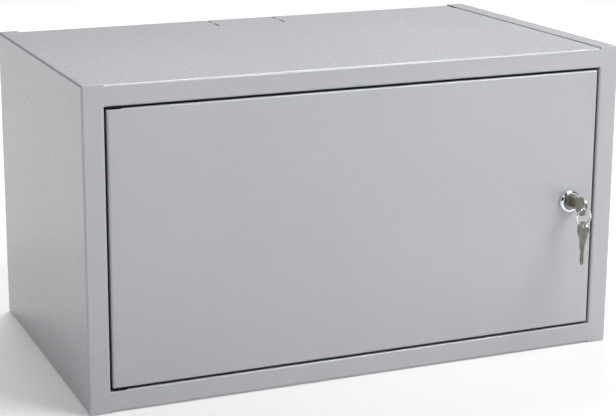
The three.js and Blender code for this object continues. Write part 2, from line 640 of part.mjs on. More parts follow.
piece('lock_body', lockBody(), CHROME);
piece('lock_washer', lockWasher(), ZINC);
piece('lock_nut', lockNut(), ZINC);
piece('lock_plug', lockPlug(), SATIN_NICKEL);
piece('lock_cam', lockCam(), ZINC);
piece('cam_washer', camWasher(), ZINC);
piece('cam_screw', camScrew(), ZINC);
piece('key', key(lockX, FRONT + shoulder, MIDDLE, false), KEY_NICKEL);
piece('key_ring', keyRing(), CHROME);
piece('spare_key', key(lockX, bowHoleY, spareShoulder, true), KEY_NICKEL);

export default cabinet;
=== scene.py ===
"""Looks of a low 19-inch network cabinet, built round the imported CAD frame."""
import json
import math

import bmesh
import bpy
from mathutils import Matrix, Vector


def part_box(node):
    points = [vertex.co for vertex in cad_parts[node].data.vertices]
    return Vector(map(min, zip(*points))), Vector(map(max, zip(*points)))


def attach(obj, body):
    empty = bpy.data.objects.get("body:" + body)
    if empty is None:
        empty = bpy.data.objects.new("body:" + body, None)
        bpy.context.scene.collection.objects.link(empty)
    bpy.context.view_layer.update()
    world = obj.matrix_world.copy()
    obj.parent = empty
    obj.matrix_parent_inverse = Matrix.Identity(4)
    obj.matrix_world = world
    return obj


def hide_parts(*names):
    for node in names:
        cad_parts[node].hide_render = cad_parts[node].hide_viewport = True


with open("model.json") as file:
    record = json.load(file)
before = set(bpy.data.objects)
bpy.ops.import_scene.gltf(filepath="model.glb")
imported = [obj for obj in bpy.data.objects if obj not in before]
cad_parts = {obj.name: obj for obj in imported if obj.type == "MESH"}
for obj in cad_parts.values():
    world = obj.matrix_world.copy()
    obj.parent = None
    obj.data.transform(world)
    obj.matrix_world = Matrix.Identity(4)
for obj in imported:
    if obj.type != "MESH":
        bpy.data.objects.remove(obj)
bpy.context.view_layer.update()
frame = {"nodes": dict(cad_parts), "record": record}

MM = 0.001

# ---------- sizes that the frame's boxes don't give ----------
GAUGE = 1.2 * MM  # case and door sheet
BEND = 2.5 * MM  # outer radius of the folds
CORNER = 0.6 * MM  # welded and ground corners
EDGE = 0.14 * MM  # softened cut edges
LIP = 16 * MM  # depth of the folded edge round the door opening
RELIEF = {"length": 3.2 * MM, "height": 0.9 * MM}  # corner relief where a stile's fold ends
DOOR_LIP = 12 * MM  # width of the door's folded rim at the back
REAR_NOTCH = {"width": 1.8 * MM, "length": 25 * MM}  # open corner beside the rear of the top
WING_SETBACK = 7 * MM  # from the front to the laps under the side flanges
REAR_FOLD_END = 0.5 * MM  # height of the rear fold's edge above the opening's top
SHEET_GAP = 0.05 * MM  # between the top sheet and the flange lying on it
KNOCKOUT = {"centre": -6 * MM, "width": 83 * MM, "length": 46 * MM, "slit": 2.6 * MM, "bridge": 7 * MM,
            "bridge_at": 0.5, "front_slit": 0.35 * MM, "rear_end": 9 * MM}
WALL_HOLE = {"x": 225 * MM, "from_end": 45 * MM, "radius": 4.5 * MM}
SCREW_HOLE = 2.3 * MM  # radius, in the rear flanges and the back panel
PIN_HOLE = 2.3 * MM  # radius, in the door's top and bottom edges
BUSH_HOLE = 3.8 * MM  # radius, in the frame's lips
LOCK_HOLE = 9.5 * MM  # radius, in the door
PIERCE = 6 * MM  # length of the cutters through the lips and the door
REAR_PIERCE = 8 * MM  # length of the cutters through the rear flanges and the back panel
HAIR = 0.1 * MM  # tolerance for finding a place
SAME = 1e-6  # points this close are one point
WELD = {"half": 1.6 * MM, "sunk": 0.2 * MM, "thick": 0.7 * MM, "from_lip": 2 * MM, "soft": 0.25 * MM,
        "fill_front": 0.12 * MM, "fill_back": 0.3 * MM, "fill_over": 0.4 * MM, "fill_low": 0.02 * MM}
PAD = {"off_door": 0.12 * MM, "off_lip": 0.1 * MM, "forward": 0.9 * MM, "sleeve": 3.5 * MM,
       "sleeve_length": 3.6 * MM, "sleeve_at": 1.2 * MM, "bore": 2.1 * MM, "bore_length": 12 * MM,
       "soft": 0.3 * MM}
# Edge rounding of the pieces that keep the frame's own shape, by the start of the node's name.
REFINED = {
    "depth_rail": 0.2, "rack_rail": 0.2, "rail_screw": 0.3, "rail_nut": 0.3, "back_screw": 0.15,
    "stop_bracket": 0.2, "stop_bumper": 0.4, "earth": 0.2, "hinge_bracket": 0.2,
    "hinge_pin": 0.15, "door_stiffener": 0.15, "lock_washer": 0.15, "lock_nut": 0.35, "lock_cam": 0.3,
    "cam_washer": 0.15, "cam_screw": 0.25,
}

# Lock and keys in millimetres; depths are measured inwards from the door's front.
LOCK_CASE = {"front": -5.4, "rim": 9.3, "rim_round": 0.25, "recess": -3.4, "flat": 9.75, "radius": 12.4,
             "skirt_front": -1.55, "skirt": [(0, -0.55), (0.08, -0.36), (0.25, -0.3)], "barrel": 9.2,
             "thread_start": 2.2, "turns": 15, "root": 8.75, "end_radius": 8.7, "end": 17, "bore": 6.1}
LOCK_CORE = {"face": 9.1, "front": -4.9, "round": 0.45, "centre": 3.2, "rim_back": [(0, -3.75), (0.1, -3.7)],
             "shank": 6, "end": 17.7, "square": 4, "square_span": (16, 20.5), "keyway": (1.2, 4.3),
             "keyway_span": (-6, 13.3), "tap": 2.2, "tap_at": 18, "tap_length": 8}
KEY = {"thick": 1, "tip": 17.5, "half": 4.0, "shoulder": 5.2, "neck": 9.0, "bow": (11.0, 10.25),
       "bow_opening": 0.5, "bow_steps": 60, "bevel": 14.5, "cut_pitch": 2.5, "cuts": [1.4, 0.7, 1.9, 1.1, 1.6],
       "cut_flat": 0.35, "crest": 0.25, "first_cut": 2.0, "eye": (-26, 2.6), "dish": (-18.2, 3.9, 6.6),
       "dish_floor": 0.8, "groove_floor": 0.55, "groove_half": 0.45, "grooves": {1: 1.0, -1: -1.4},
       "groove_span": (-4, 18.5), "past": 2.0, "through": 3, "soft": 0.22}
# Nose of the blade, from the lower edge round the tip to the upper edge.
KEY_NOSE = [(16.4, -2.4), (17.2, -1.6), (17.5, -0.8), (17.5, 0.6), (17.2, 1.2), (16.2, 2.4)]
RING = {"inset": 0.9 * MM, "pitch": 0.43 * MM, "wide": 0.58 * MM, "flat": 0.42 * MM, "turns": 2.0,
        "steps": 168, "around": 12, "crossing": 0.30, "start": 215, "end_width": 0.55, "end_steps": 4}

# ---------- places read from the frame ----------
left_low, left_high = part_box("side_panel_left")
FRONT, BACK = left_low.y, left_high.y
HEIGHT = left_high.z
SIDE = -left_low.x
OPENING_X = -left_high.x
top_low, top_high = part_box("top_panel")
OPENING_TOP = top_low.z
TOP_FACE = HEIGHT - GAUGE - SHEET_GAP
WING_X = top_high.x
MIDDLE = HEIGHT / 2
door_low, door_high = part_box("door_panel")
BODY_OF = {n: b for b, ns in frame["record"]["behaviour"]["bodies"].items() for n in ns}
SLOT_OF = {s["node"]: s["material_slot"] for s in frame["record"]["subparts"]}


def centre(node):
    low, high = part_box(node)
    return (low + high) / 2


# ---------- materials ----------
EDGE_TURN = (0.90, 0.995)  # agreement of a bevelled and a plain normal: on an edge, on a flat
OPENNESS = (0.05, 0.42)  # ambient occlusion for the painted gap shade: deep in a gap, on an open surface
# Noises are (scale, detail); bumps are (strength, distance); ranges are (lowest, highest).
# The paint's edge highlight and gap shade are painted into its colour.
PAINT = {"dark": (0.478, 0.488, 0.512), "light": (0.508, 0.516, 0.540), "cloud": (4.0, 3.0),
         "peel": (420.0, 2.0), "grain": (2100.0, 1.0), "highlight_patches": (60.0, 4.0), "highlight_radius": 0.7 * MM,
         "edge_highlight_ramp": (0.0, 0.6, 0.45, 0.7), "highlight_lift": 1.12, "gap_reach": 5 * MM, "gap_share": 0.12,
         "roughness": (0.26, 0.34), "peel_bump": (0.04, 0.25 * MM), "grain_bump": (0.05, 0.08 * MM),
         "coat_bump": (0.035, 0.2 * MM), "specular": 0.45, "coat": 0.25, "coat_roughness": 0.16}
ZINC = {"crystal": 140.0, "dark": (0.52, 0.54, 0.56), "light": (0.64, 0.65, 0.66), "film": (18.0, 3.0),
        "film_colour": (0.66, 0.64, 0.56), "film_share": (0.0, 0.35), "fine": (1500.0, 2.0),
        "roughness": (0.28, 0.42), "bump": (0.15, 0.04 * MM)}
TURNED = {"rings": (2600.0, 3.0), "cloud": (350.0, 3.0), "dark": (0.15, 0.142, 0.135),
          "light": (0.30, 0.288, 0.275), "roughness": (0.22, 0.38), "ring_bump": (0.35, 0.05 * MM),
          "cloud_bump": (0.2, 0.2 * MM)}
CHROME = {"colour": (0.86, 0.87, 0.88), "roughness": (0.03, 0.07), "tone": 0.03, "cloud": (90.0, 4.0),
          "stretch": (1, 1, 1), "fine": (900.0, 3.0), "bump": (0.02, 0.05 * MM)}
KEY_NICKEL = {"colour": (0.50, 0.475, 0.41), "roughness": (0.22, 0.40), "tone": 0.30, "cloud": (240.0, 4.0),
              "stretch": (1, 1, 0.35), "fine": (900.0, 3.0), "bump": (0.25, 0.05 * MM)}
NYLON = {"dark": (0.004, 0.004, 0.004), "light": (0.009, 0.009, 0.009), "roughness": (0.54, 0.66),
         "cloud": (400.0, 3.0), "fine": (2400.0, 2.0), "bump": (0.25, 0.1 * MM), "specular": 0.15}
RUBBER = {"dark": (0.015, 0.015, 0.015), "light": (0.03, 0.03, 0.03), "roughness": (0.79, 0.91),
          "cloud": (500.0, 3.0), "fine": (3000.0, 2.0), "bump": (0.25, 0.1 * MM), "specular": 0.5}


def new_material(name):
    material = bpy.data.materials.new(name)
    material.use_nodes = True
    nodes = material.node_tree.nodes
    return material, nodes, material.node_tree.links, nodes["Principled BSDF"]


def noise(nodes, links, scale, detail, stretch=(1, 1, 1)):
    coordinates = nodes.new("ShaderNodeTexCoord")
    mapping = nodes.new("ShaderNodeMapping")
    mapping.inputs["Scale"].default_value = stretch
    texture = nodes.new("ShaderNodeTexNoise")
    texture.inputs["Scale"].default_value = scale
    texture.inputs["Detail"].default_value = detail
    texture.inputs["Roughness"].default_value = 0.5
    links.new(coordinates.outputs["Object"], mapping.inputs["Vector"])
    links.new(mapping.outputs["Vector"], texture.inputs["Vector"])
    return texture


def ramp(nodes, links, source, low, high, low_at=0.3, high_at=0.7):
    """The source's value spread between two values or colours."""
    node = nodes.new("ShaderNodeValToRGB")
    as_colour = lambda c: (*c, 1) if isinstance(c, tuple) else (c, c, c, 1)
    node.color_ramp.elements[0].position = low_at
    node.color_ramp.elements[1].position = high_at
    node.color_ramp.elements[0].color = as_colour(low)
    node.color_ramp.elements[1].color = as_colour(high)
    links.new(source, node.inputs["Fac"])
    return node.outputs["Color"]


def bump(nodes, links, layers):
    """Stacks (height, strength, distance) layers and returns the last normal."""
    normal = None
    for height, strength, distance in layers:
        node = nodes.new("ShaderNodeBump")
        node.inputs["Strength"].default_value = strength
        node.inputs["Distance"].default_value = distance
        links.new(height, node.inputs["Height"])
        if normal is not None:
            links.new(normal, node.inputs["Normal"])
        normal = node.outputs["Normal"]
    return normal


def edge_mask(nodes, links, radius):
    """White where a surface turns within the radius, black on the flats."""
    rounded = nodes.new("ShaderNodeBevel")
    rounded.samples = 4
    rounded.inputs["Radius"].default_value = radius
    geometry = nodes.new("ShaderNodeNewGeometry")
    agree = nodes.new("ShaderNodeVectorMath")
    agree.operation = "DOT_PRODUCT"
    links.new(rounded.outputs["Normal"], agree.inputs[0])
    links.new(geometry.outputs["Normal"], agree.inputs[1])
    return ramp(nodes, links, agree.outputs["Value"], 1.0, 0.0, *EDGE_TURN)


def painted_gap_shade(nodes, links, distance):
    """Painted shade: black in narrow gaps and white on open surfaces, by ambient occlusion."""
    occlusion = nodes.new("ShaderNodeAmbientOcclusion")
    occlusion.samples = 6
    occlusion.inputs["Distance"].default_value = distance
    return ramp(nodes, links, occlusion.outputs["AO"], 0.0, 1.0, *OPENNESS)


def mixed(nodes, links, factor, first, second):
    """Two colours (sockets or values) blended by a factor."""
    mix = nodes.new("ShaderNodeMix")
    mix.data_type = "RGBA"
    links.new(factor, mix.inputs["Factor"])
    for socket, value in (("A", first), ("B", second)):
        if isinstance(value, tuple):
            mix.inputs[socket].default_value = (*value, 1)
        else:
            links.new(value, mix.inputs[socket])
    return mix.outputs["Result"]


def paint(name, look):
    """Satin powder coat: faint orange peel, a fine grain, painted shade in gaps and a painted highlight in
    patches along the edges.
    """
    material, nodes, links, shader = new_material(name)
    cloud, peel, grain, highlight_patches = (noise(nodes, links, *look[part]).outputs["Fac"]
                                 for part in ("cloud", "peel", "grain", "highlight_patches"))
    tint = ramp(nodes, links, cloud, look["dark"], look["light"])
    # Painted highlight: a lighter grey in patches along the edges.
    edge_highlight = nodes.new("ShaderNodeMath")
    edge_highlight.operation = "MULTIPLY"
    links.new(edge_mask(nodes, links, look["highlight_radius"]), edge_highlight.inputs[0])
    links.new(ramp(nodes, links, highlight_patches, *look["edge_highlight_ramp"]), edge_highlight.inputs[1])
    highlight_colour = tuple(c * look["highlight_lift"] for c in look["light"])
    with_edge_highlight = mixed(nodes, links, edge_highlight.outputs["Value"], tint, highlight_colour)
    # Painted shade: the colour falls to a near black in gaps and narrow places.
    gap_shade_colour = tuple(c * look["gap_share"] for c in look["dark"])
    colour = mixed(nodes, links, painted_gap_shade(nodes, links, look["gap_reach"]), gap_shade_colour, with_edge_highlight)
    links.new(colour, shader.inputs["Base Color"])
    links.new(ramp(nodes, links, peel, *look["roughness"]), shader.inputs["Roughness"])
    surface = bump(nodes, links, [(peel, *look["peel_bump"]), (grain, *look["grain_bump"])])
    links.new(surface, shader.inputs["Normal"])
    links.new(bump(nodes, links, [(peel, *look["coat_bump"])]), shader.inputs["Coat Normal"])
    shader.inputs["Specular IOR Level"].default_value = look["specular"]
    shader.inputs["Coat Weight"].default_value = look["coat"]
    shader.inputs["Coat Roughness"].default_value = look["coat_roughness"]
    return material


def metal(name, look):
    """Plated or polished metal with a little variation of tone and finish."""
    material, nodes, links, shader = new_material(name)
    cloud = noise(nodes, links, *look["cloud"], look["stretch"]).outputs["Fac"]
    fine = noise(nodes, links, *look["fine"], look["stretch"]).outputs["Fac"]
    darker = tuple(c * (1 - look["tone"]) for c in look["colour"])
    links.new(ramp(nodes, links, cloud, darker, look["colour"]), shader.inputs["Base Color"])
    links.new(ramp(nodes, links, fine, *look["roughness"]), shader.inputs["Roughness"])
    links.new(bump(nodes, links, [(fine, *look["bump"])]), shader.inputs["Normal"])
    shader.inputs["Metallic"].default_value = 1.0
    return material


def zinc(name, look):
    """Bright zinc plate: crystals of slightly different grey under a thin yellow passivation."""
    material, nodes, links, shader = new_material(name)
    coordinates = nodes.new("ShaderNodeTexCoord")
    crystals = nodes.new("ShaderNodeTexVoronoi")
    crystals.inputs["Scale"].default_value = look["crystal"]
    links.new(coordinates.outputs["Object"], crystals.inputs["Vector"])
    shade = nodes.new("ShaderNodeSeparateColor")
    links.new(crystals.outputs["Color"], shade.inputs["Color"])
    tone = ramp(nodes, links, shade.outputs["Red"], look["dark"], look["light"], 0.0, 1.0)
    film = noise(nodes, links, *look["film"]).outputs["Fac"]
    share = ramp(nodes, links, film, *look["film_share"])
    links.new(mixed(nodes, links, share, tone, look["film_colour"]), shader.inputs["Base Color"])
    fine = noise(nodes, links, *look["fine"]).outputs["Fac"]
    links.new(ramp(nodes, links, fine, *look["roughness"]), shader.inputs["Roughness"])
    links.new(bump(nodes, links, [(fine, *look["bump"])]), shader.inputs["Normal"])
    shader.inputs["Metallic"].default_value = 1.0
    return material


def turned_face(name, look, axis_at):
    """Satin nickel turned on a lathe: fine rings round the lock's axis."""
    material, nodes, links, shader = new_material(name)
    coordinates = nodes.new("ShaderNodeTexCoord")
    from_axis = nodes.new("ShaderNodeVectorMath")
    from_axis.operation = "SUBTRACT"
    from_axis.inputs[1].default_value = axis_at
    flat = nodes.new("ShaderNodeVectorMath")
    flat.operation = "MULTIPLY"
    flat.inputs[1].default_value = (1, 0, 1)
    radius = nodes.new("ShaderNodeVectorMath")
    radius.operation = "LENGTH"
    turning = nodes.new("ShaderNodeTexNoise")
    turning.noise_dimensions = "1D"
    turning.inputs["Scale"].default_value, turning.inputs["Detail"].default_value = look["rings"]
    links.new(coordinates.outputs["Object"], from_axis.inputs[0])
    links.new(from_axis.outputs["Vector"], flat.inputs[0])
    links.new(flat.outputs["Vector"], radius.inputs[0])
    links.new(radius.outputs["Value"], turning.inputs["W"])
    rings = turning.outputs["Fac"]
    cloud = noise(nodes, links, *look["cloud"]).outputs["Fac"]
    links.new(ramp(nodes, links, cloud, look["dark"], look["light"]), shader.inputs["Base Color"])
    links.new(ramp(nodes, links, rings, *look["roughness"]), shader.inputs["Roughness"])
    surface = bump(nodes, links, [(rings, *look["ring_bump"]), (cloud, *look["cloud_bump"])])
    links.new(surface, shader.inputs["Normal"])
    shader.inputs["Metallic"].default_value = 1.0
    return material


def polymer(name, look):
    """Moulded plastic or rubber: a faint cloud of tone and a fine moulded grain."""
    material, nodes, links, shader = new_material(name)
    cloud = noise(nodes, links, *look["cloud"]).outputs["Fac"]
    fine = noise(nodes, links, *look["fine"]).outputs["Fac"]
    links.new(ramp(nodes, links, cloud, look["dark"], look["light"]), shader.inputs["Base Color"])
    links.new(ramp(nodes, links, fine, *look["roughness"]), shader.inputs["Roughness"])
    links.new(bump(nodes, links, [(fine, *look["bump"])]), shader.inputs["Normal"])
    shader.inputs["Specular IOR Level"].default_value = look["specular"]
    return material


LOCK_AT = centre("lock_body")
MATERIALS = {
    "case_paint": paint("powder_coat_grey", PAINT),
    "zinc_plate": zinc("zinc_plate", ZINC),
    "chrome": metal("polished_chrome", CHROME),
    "lock_face": turned_face("turned_nickel", TURNED, LOCK_AT),
    "key_nickel": metal("key_nickel", KEY_NICKEL),
    "nylon": polymer("black_nylon", NYLON),
    "rubber": polymer("black_rubber", RUBBER),
}


# ---------- mesh tools ----------
def finish_piece(obj, nodes, slot=None, smooth_angle=35):
    """Smooths the piece's shading, gives it its material, and hangs it on its body."""
    slot = slot or SLOT_OF[nodes[0]]
    mesh = obj.data
    mesh.polygons.foreach_set("use_smooth", [True] * len(mesh.polygons))
    mesh.set_sharp_from_angle(angle=math.radians(smooth_angle))
    obj.data.materials.clear()
    obj.data.materials.append(MATERIALS[slot])
    weighted = obj.modifiers.new("weighted_normals", "WEIGHTED_NORMAL")
    weighted.keep_sharp = True
    weighted.weight = 100
    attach(obj, BODY_OF[nodes[0]])
    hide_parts(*nodes)
    return obj


def object_from(bm, name):
    mesh = bpy.data.meshes.new(name)
    bm.to_mesh(mesh)
    bm.free()
    obj = bpy.data.objects.new(name, mesh)
    bpy.context.scene.collection.objects.link(obj)
    return obj


def settled(obj, name):
    """A new object holding the mesh that obj's modifiers make; obj is removed."""
    bpy.context.view_layer.update()
    evaluated = obj.evaluated_get(bpy.context.evaluated_depsgraph_get())
    mesh = bpy.data.meshes.new_from_object(evaluated)
    mesh.name = name
    bpy.data.objects.remove(obj)
    made = bpy.data.objects.new(name, mesh)
    bpy.context.scene.collection.objects.link(made)
    return made


def grid(axis, level, us, vs, outward, skip=lambda u, v: False):
    """Quads on a plane across an axis, between the break lines us and vs, facing outward (+1 or -1)."""
    place = {
        "x": lambda u, v: Vector((level, u, v)),
        "y": lambda u, v: Vector((u, level, v)),
        "z": lambda u, v: Vector((u, v, level)),
    }[axis]
    natural = {"x": 1, "y": -1, "z": 1}[axis]
    us, vs = sorted(us), sorted(vs)
    quads = []
    for u0, u1 in zip(us, us[1:]):
        for v0, v1 in zip(vs, vs[1:]):
            if u1 - u0 < 1e-7 or v1 - v0 < 1e-7 or skip((u0 + u1) / 2, (v0 + v1) / 2):
                continue
            quad = [place(u0, v0), place(u1, v0), place(u1, v1), place(u0, v1)]
            quads.append(quad if outward == natural else quad[::-1])
    return quads


def cylinder_cutter(at, axis, radius, length, segments=48):
    bm = bmesh.new()
    turn = {"x": Matrix.Rotation(math.pi / 2, 4, "Y"), "y": Matrix.Rotation(math.pi / 2, 4, "X"),
            "z": Matrix.Identity(4)}[axis]
    bmesh.ops.create_cone(bm, cap_ends=True, segments=segments, radius1=radius, radius2=radius,
                          depth=length, matrix=Matrix.Translation(at) @ turn)
    return bm


def box_cutter(low, high):
    bm = bmesh.new()
    size = Vector(high) - Vector(low)
    middle = (Vector(high) + Vector(low)) / 2
    bmesh.ops.create_cube(bm, size=1.0, matrix=Matrix.Translation(middle) @ Matrix.Diagonal((*size, 1)))
    return bm


def add_mesh(bm, other):
    """Copies the other bmesh into bm and frees it."""
    scratch = bpy.data.meshes.new("scratch")
    other.to_mesh(scratch)
    other.free()
    bm.from_mesh(scratch)
    bpy.data.meshes.remove(scratch)


def cut_with(obj, cutters):
    """Adds one boolean cut with all the cutters joined."""
    joined = bmesh.new()
    for cutter in cutters:
        add_mesh(joined, cutter)
    tool = object_from(joined, "cutter")
    boolean = obj.modifiers.new("holes", "BOOLEAN")
    boolean.operation = "DIFFERENCE"
    boolean.solver = "EXACT"
    boolean.object = tool
    tool.hide_render = True
    return tool


def join_with(obj, other):
    """Adds one boolean union with the other object."""
    boolean = obj.modifiers.new("joined", "BOOLEAN")
    boolean.operation, boolean.solver, boolean.object = "UNION", "EXACT", other


def soften(obj, width, spare=lambda edge: False, angle=50, segments=2):
    """Rounds the sharp cut edges a little, apart from those to spare."""
    bm = bmesh.new()
    bm.from_mesh(obj.data)
    limit = math.radians(angle)
    edges = [e for e in bm.edges if len(e.link_faces) == 2
             and e.calc_face_angle(0.0) > limit and not spare(e)]
    bmesh.ops.bevel(bm, geom=edges, offset=width, segments=segments, profile=0.5, affect="EDGES",
                    clamp_overlap=True)
    bm.to_mesh(obj.data)
    bm.free()


def folded_piece(name, nodes, quads, radius_of, gauge=GAUGE, cutters=(), spare=lambda edge: False,
                 steps=7, edge=EDGE):
    """A folded sheet: its outer faces, rounded at the folds, thickened inwards, pierced and softened."""
    bm = bmesh.new()
    for quad in quads:
        bm.faces.new([bm.verts.new(p) for p in quad])
    bmesh.ops.remove_doubles(bm, verts=bm.verts, dist=SAME)
    weights = bm.edges.layers.float.new("bevel_weight_edge")
    for e in bm.edges:
        if len(e.link_faces) == 2 and e.calc_face_angle(0.0) > 0.2:
            e[weights] = radius_of(e) / BEND
    flat = object_from(bm, name + "_flat")
    fold = flat.modifiers.new("folds", "BEVEL")
    fold.limit_method = "WEIGHT"
    fold.width = BEND
    fold.segments = steps
    fold.use_clamp_overlap = False
    thick = flat.modifiers.new("gauge", "SOLIDIFY")
    thick.thickness = gauge
    thick.offset = -1
    thick.use_even_offset = True
    tool = cut_with(flat, cutters) if cutters else None
    obj = settled(flat, name)
    if tool:
        bpy.data.objects.remove(tool)
    soften(obj, edge, spare)
    return finish_piece(obj, nodes)


def along(edge):
    """The axis that an edge runs along."""
    run = edge.verts[1].co - edge.verts[0].co
    return max("xyz", key=lambda a: abs(getattr(run, a)))


def turned_mesh(profile, at, axis="y", segments=72):
    """A turned solid from a closed (radius, height) profile."""
    bm = bmesh.new()
    spin = {"x": Matrix.Rotation(math.pi / 2, 4, "Y"), "y": Matrix.Rotation(-math.pi / 2, 4, "X"),
            "z": Matrix.Identity(4)}[axis]
    rings = []
    for radius, height in profile:
        if radius < 1e-7:
            rings.append([bm.verts.new((0, 0, height))])
            continue
        rings.append([bm.verts.new((radius * math.cos(a), radius * math.sin(a), height))
                      for a in (2 * math.pi * k / segments for k in range(segments))])
    closed = all(len(r) > 1 for r in (rings[0], rings[-1]))
    pairs = list(zip(rings, rings[1:])) + ([(rings[-1], rings[0])] if closed else [])
    for a, b in pairs:
        for k in range(segments):
            j = (k + 1) % segments
            corners = [a[k % len(a)], a[j % len(a)], b[j % len(b)], b[k % len(b)]]
            corners = list(dict.fromkeys(corners))
            if len(corners) > 2:
                bm.faces.new(corners)
    bmesh.ops.recalc_face_normals(bm, faces=bm.faces)
    bmesh.ops.transform(bm, matrix=Matrix.Translation(at) @ spin, verts=bm.verts)
    return bm


def arc(centre_at, radius, start, end, steps):
    """Points (r, h) on an arc, angles in degrees."""
    cr, ch = centre_at
    return [(cr + radius * math.cos(math.radians(start + (end - start) * k / steps)),
             ch + radius * math.sin(math.radians(start + (end - start) * k / steps)))
            for k in range(steps + 1)]


# ---------- case ----------
def side_panel(side):
    """One side of the case: skin, stile with its lip, and top, bottom and rear flanges."""
    skin, edge = side * SIDE, side * OPENING_X
    relief, slot = edge + side * RELIEF["length"], RELIEF["height"]
    low_z, high_z = HEIGHT - OPENING_TOP, OPENING_TOP
    levels = [0, low_z - slot, low_z, high_z, high_z + slot, HEIGHT]
    across = [edge, relief, skin]

    def in_relief(x, z):
        near = abs(x) < abs(relief)
        return near and (low_z - slot < z < low_z or high_z < z < high_z + slot)

    quads = grid("x", skin, [FRONT, BACK], levels, side)
    quads += grid("y", FRONT, across, levels, -1, in_relief)
    quads += grid("x", edge, [FRONT, FRONT + LIP], [low_z, high_z], -side)
    quads += grid("z", HEIGHT, across, [FRONT, BACK], 1)
    quads += grid("z", 0, across, [FRONT, BACK], -1)
    quads += grid("y", BACK, across, levels, 1)
    hand = "left" if side < 0 else "right"
    heights = [centre(f"back_screw_{level}_{hand}").z for level in ("lower", "middle", "upper")]
    screw_x = centre(f"back_screw_middle_{hand}").x
    holes = [cylinder_cutter((screw_x, BACK, z), "y", SCREW_HOLE, REAR_PIERCE, 32) for z in heights]

    def at_weld(e):
        middle = (e.verts[0].co + e.verts[1].co) / 2
        return (middle.y < FRONT + HAIR and abs(middle.x - edge) < HAIR
                and not low_z - slot < middle.z < high_z + slot)

    return folded_piece(f"case_side_{hand}", [f"side_panel_{hand}"], quads,
                        lambda e: CORNER if along(e) == "x" else BEND, cutters=holes, spare=at_weld)


def frame_panel(level):
    """The top (level 1) or bottom (level -1) of the case, with its front rail and cable knock-out."""
    place = lambda z: MIDDLE + level * (z - MIDDLE)
    k = KNOCKOUT
    left, right = k["centre"] - k["width"] / 2, k["centre"] + k["width"] / 2
    start = BACK - k["length"]
    held = start + k["length"] * k["bridge_at"]
    half, gap = k["slit"] / 2, k["bridge"] / 2
    thirds = [left + k["width"] * n / 3 for n in (1, 2)]
    bridge_lines = [x + s * gap for x in thirds for s in (-1, 1)]
    slit_lines = [x + s * half for x in (left, right) for s in (-1, 1)]
    notch_x, notch_y = OPENING_X - REAR_NOTCH["width"], BACK - REAR_NOTCH["length"]
    inner = sorted([-OPENING_X, -notch_x, *slit_lines, *bridge_lines, notch_x, OPENING_X])
    xs = [-WING_X, *inner, WING_X]
    slit_front, slit_end = start - k["front_slit"], OPENING_TOP + k["rear_end"]
    ys = [FRONT, FRONT + WING_SETBACK, slit_front, start, held - gap, held + gap, notch_y, BACK]

    def side_slit(x, y):
        return any(abs(x - edge) < half for edge in (left, right)) and y > start \
            and abs(y - held) > gap

    def front_slit(x, y):
        inside = left - half < x < right + half and slit_front < y < start
        return inside and not any(abs(x - t) < gap for t in thirds)

    def off_sheet(x, y):
        wing = abs(x) > OPENING_X and (y < FRONT + WING_SETBACK or y > notch_y)
        return wing or (abs(x) > notch_x and y > notch_y) or side_slit(x, y) or front_slit(x, y)

    def off_fold(x, z):
        return abs(x) > notch_x or (side_slit(x, BACK) and abs(z - MIDDLE) > slit_end - MIDDLE)

    quads = grid("z", place(TOP_FACE), xs, ys, level, off_sheet)
    quads += grid("y", FRONT, inner, [place(OPENING_TOP), place(TOP_FACE)], -1)
    quads += grid("z", place(OPENING_TOP), inner, [FRONT, FRONT + LIP], -level)
    fold_levels = [place(OPENING_TOP + REAR_FOLD_END), place(slit_end), place(TOP_FACE)]
    quads += grid("y", BACK, inner, fold_levels, 1, off_fold)
    name = "top" if level > 0 else "bottom"
    pin = centre("hinge_pin_upper")
    hole = cylinder_cutter((pin.x, pin.y, place(OPENING_TOP)), "z", BUSH_HOLE, PIERCE)

    def at_weld(e):
        middle = (e.verts[0].co + e.verts[1].co) / 2
        return middle.y < FRONT + HAIR and abs(abs(middle.x) - OPENING_X) < HAIR

    return folded_piece(f"case_{name}", [f"{name}_panel"], quads, lambda e: BEND, cutters=[hole],
                        spare=at_weld)


def weld_backing(side, level):
    """The weld behind the butt joint of a stile and a rail, which also fills the corner relief."""
    w = WELD
    place = lambda z: MIDDLE + level * (z - MIDDLE)
    x, seam = side * OPENING_X, FRONT + GAUGE
    z = sorted([place(OPENING_TOP + w["from_lip"]), place(TOP_FACE - BEND)])
    bead = box_cutter((x - w["half"], seam - w["sunk"], z[0]), (x + w["half"], seam + w["thick"], z[1]))
    fill_x = sorted([x - side * w["sunk"], x + side * (RELIEF["length"] + w["fill_over"])])
    fill_top = OPENING_TOP + RELIEF["height"] + w["fill_over"]
    fill_z = sorted([place(OPENING_TOP + w["fill_low"]), place(fill_top)])
    fill = box_cutter((fill_x[0], FRONT + w["fill_front"], fill_z[0]),
                      (fill_x[1], seam + w["fill_back"], fill_z[1]))
    add_mesh(bead, fill)
    obj = object_from(bead, f"weld_{'upper' if level > 0 else 'lower'}_{'left' if side < 0 else 'right'}")
    soften(obj, w["soft"], segments=3)
    obj.data.materials.append(MATERIALS["case_paint"])
    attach(obj, "cabinet")
    return obj


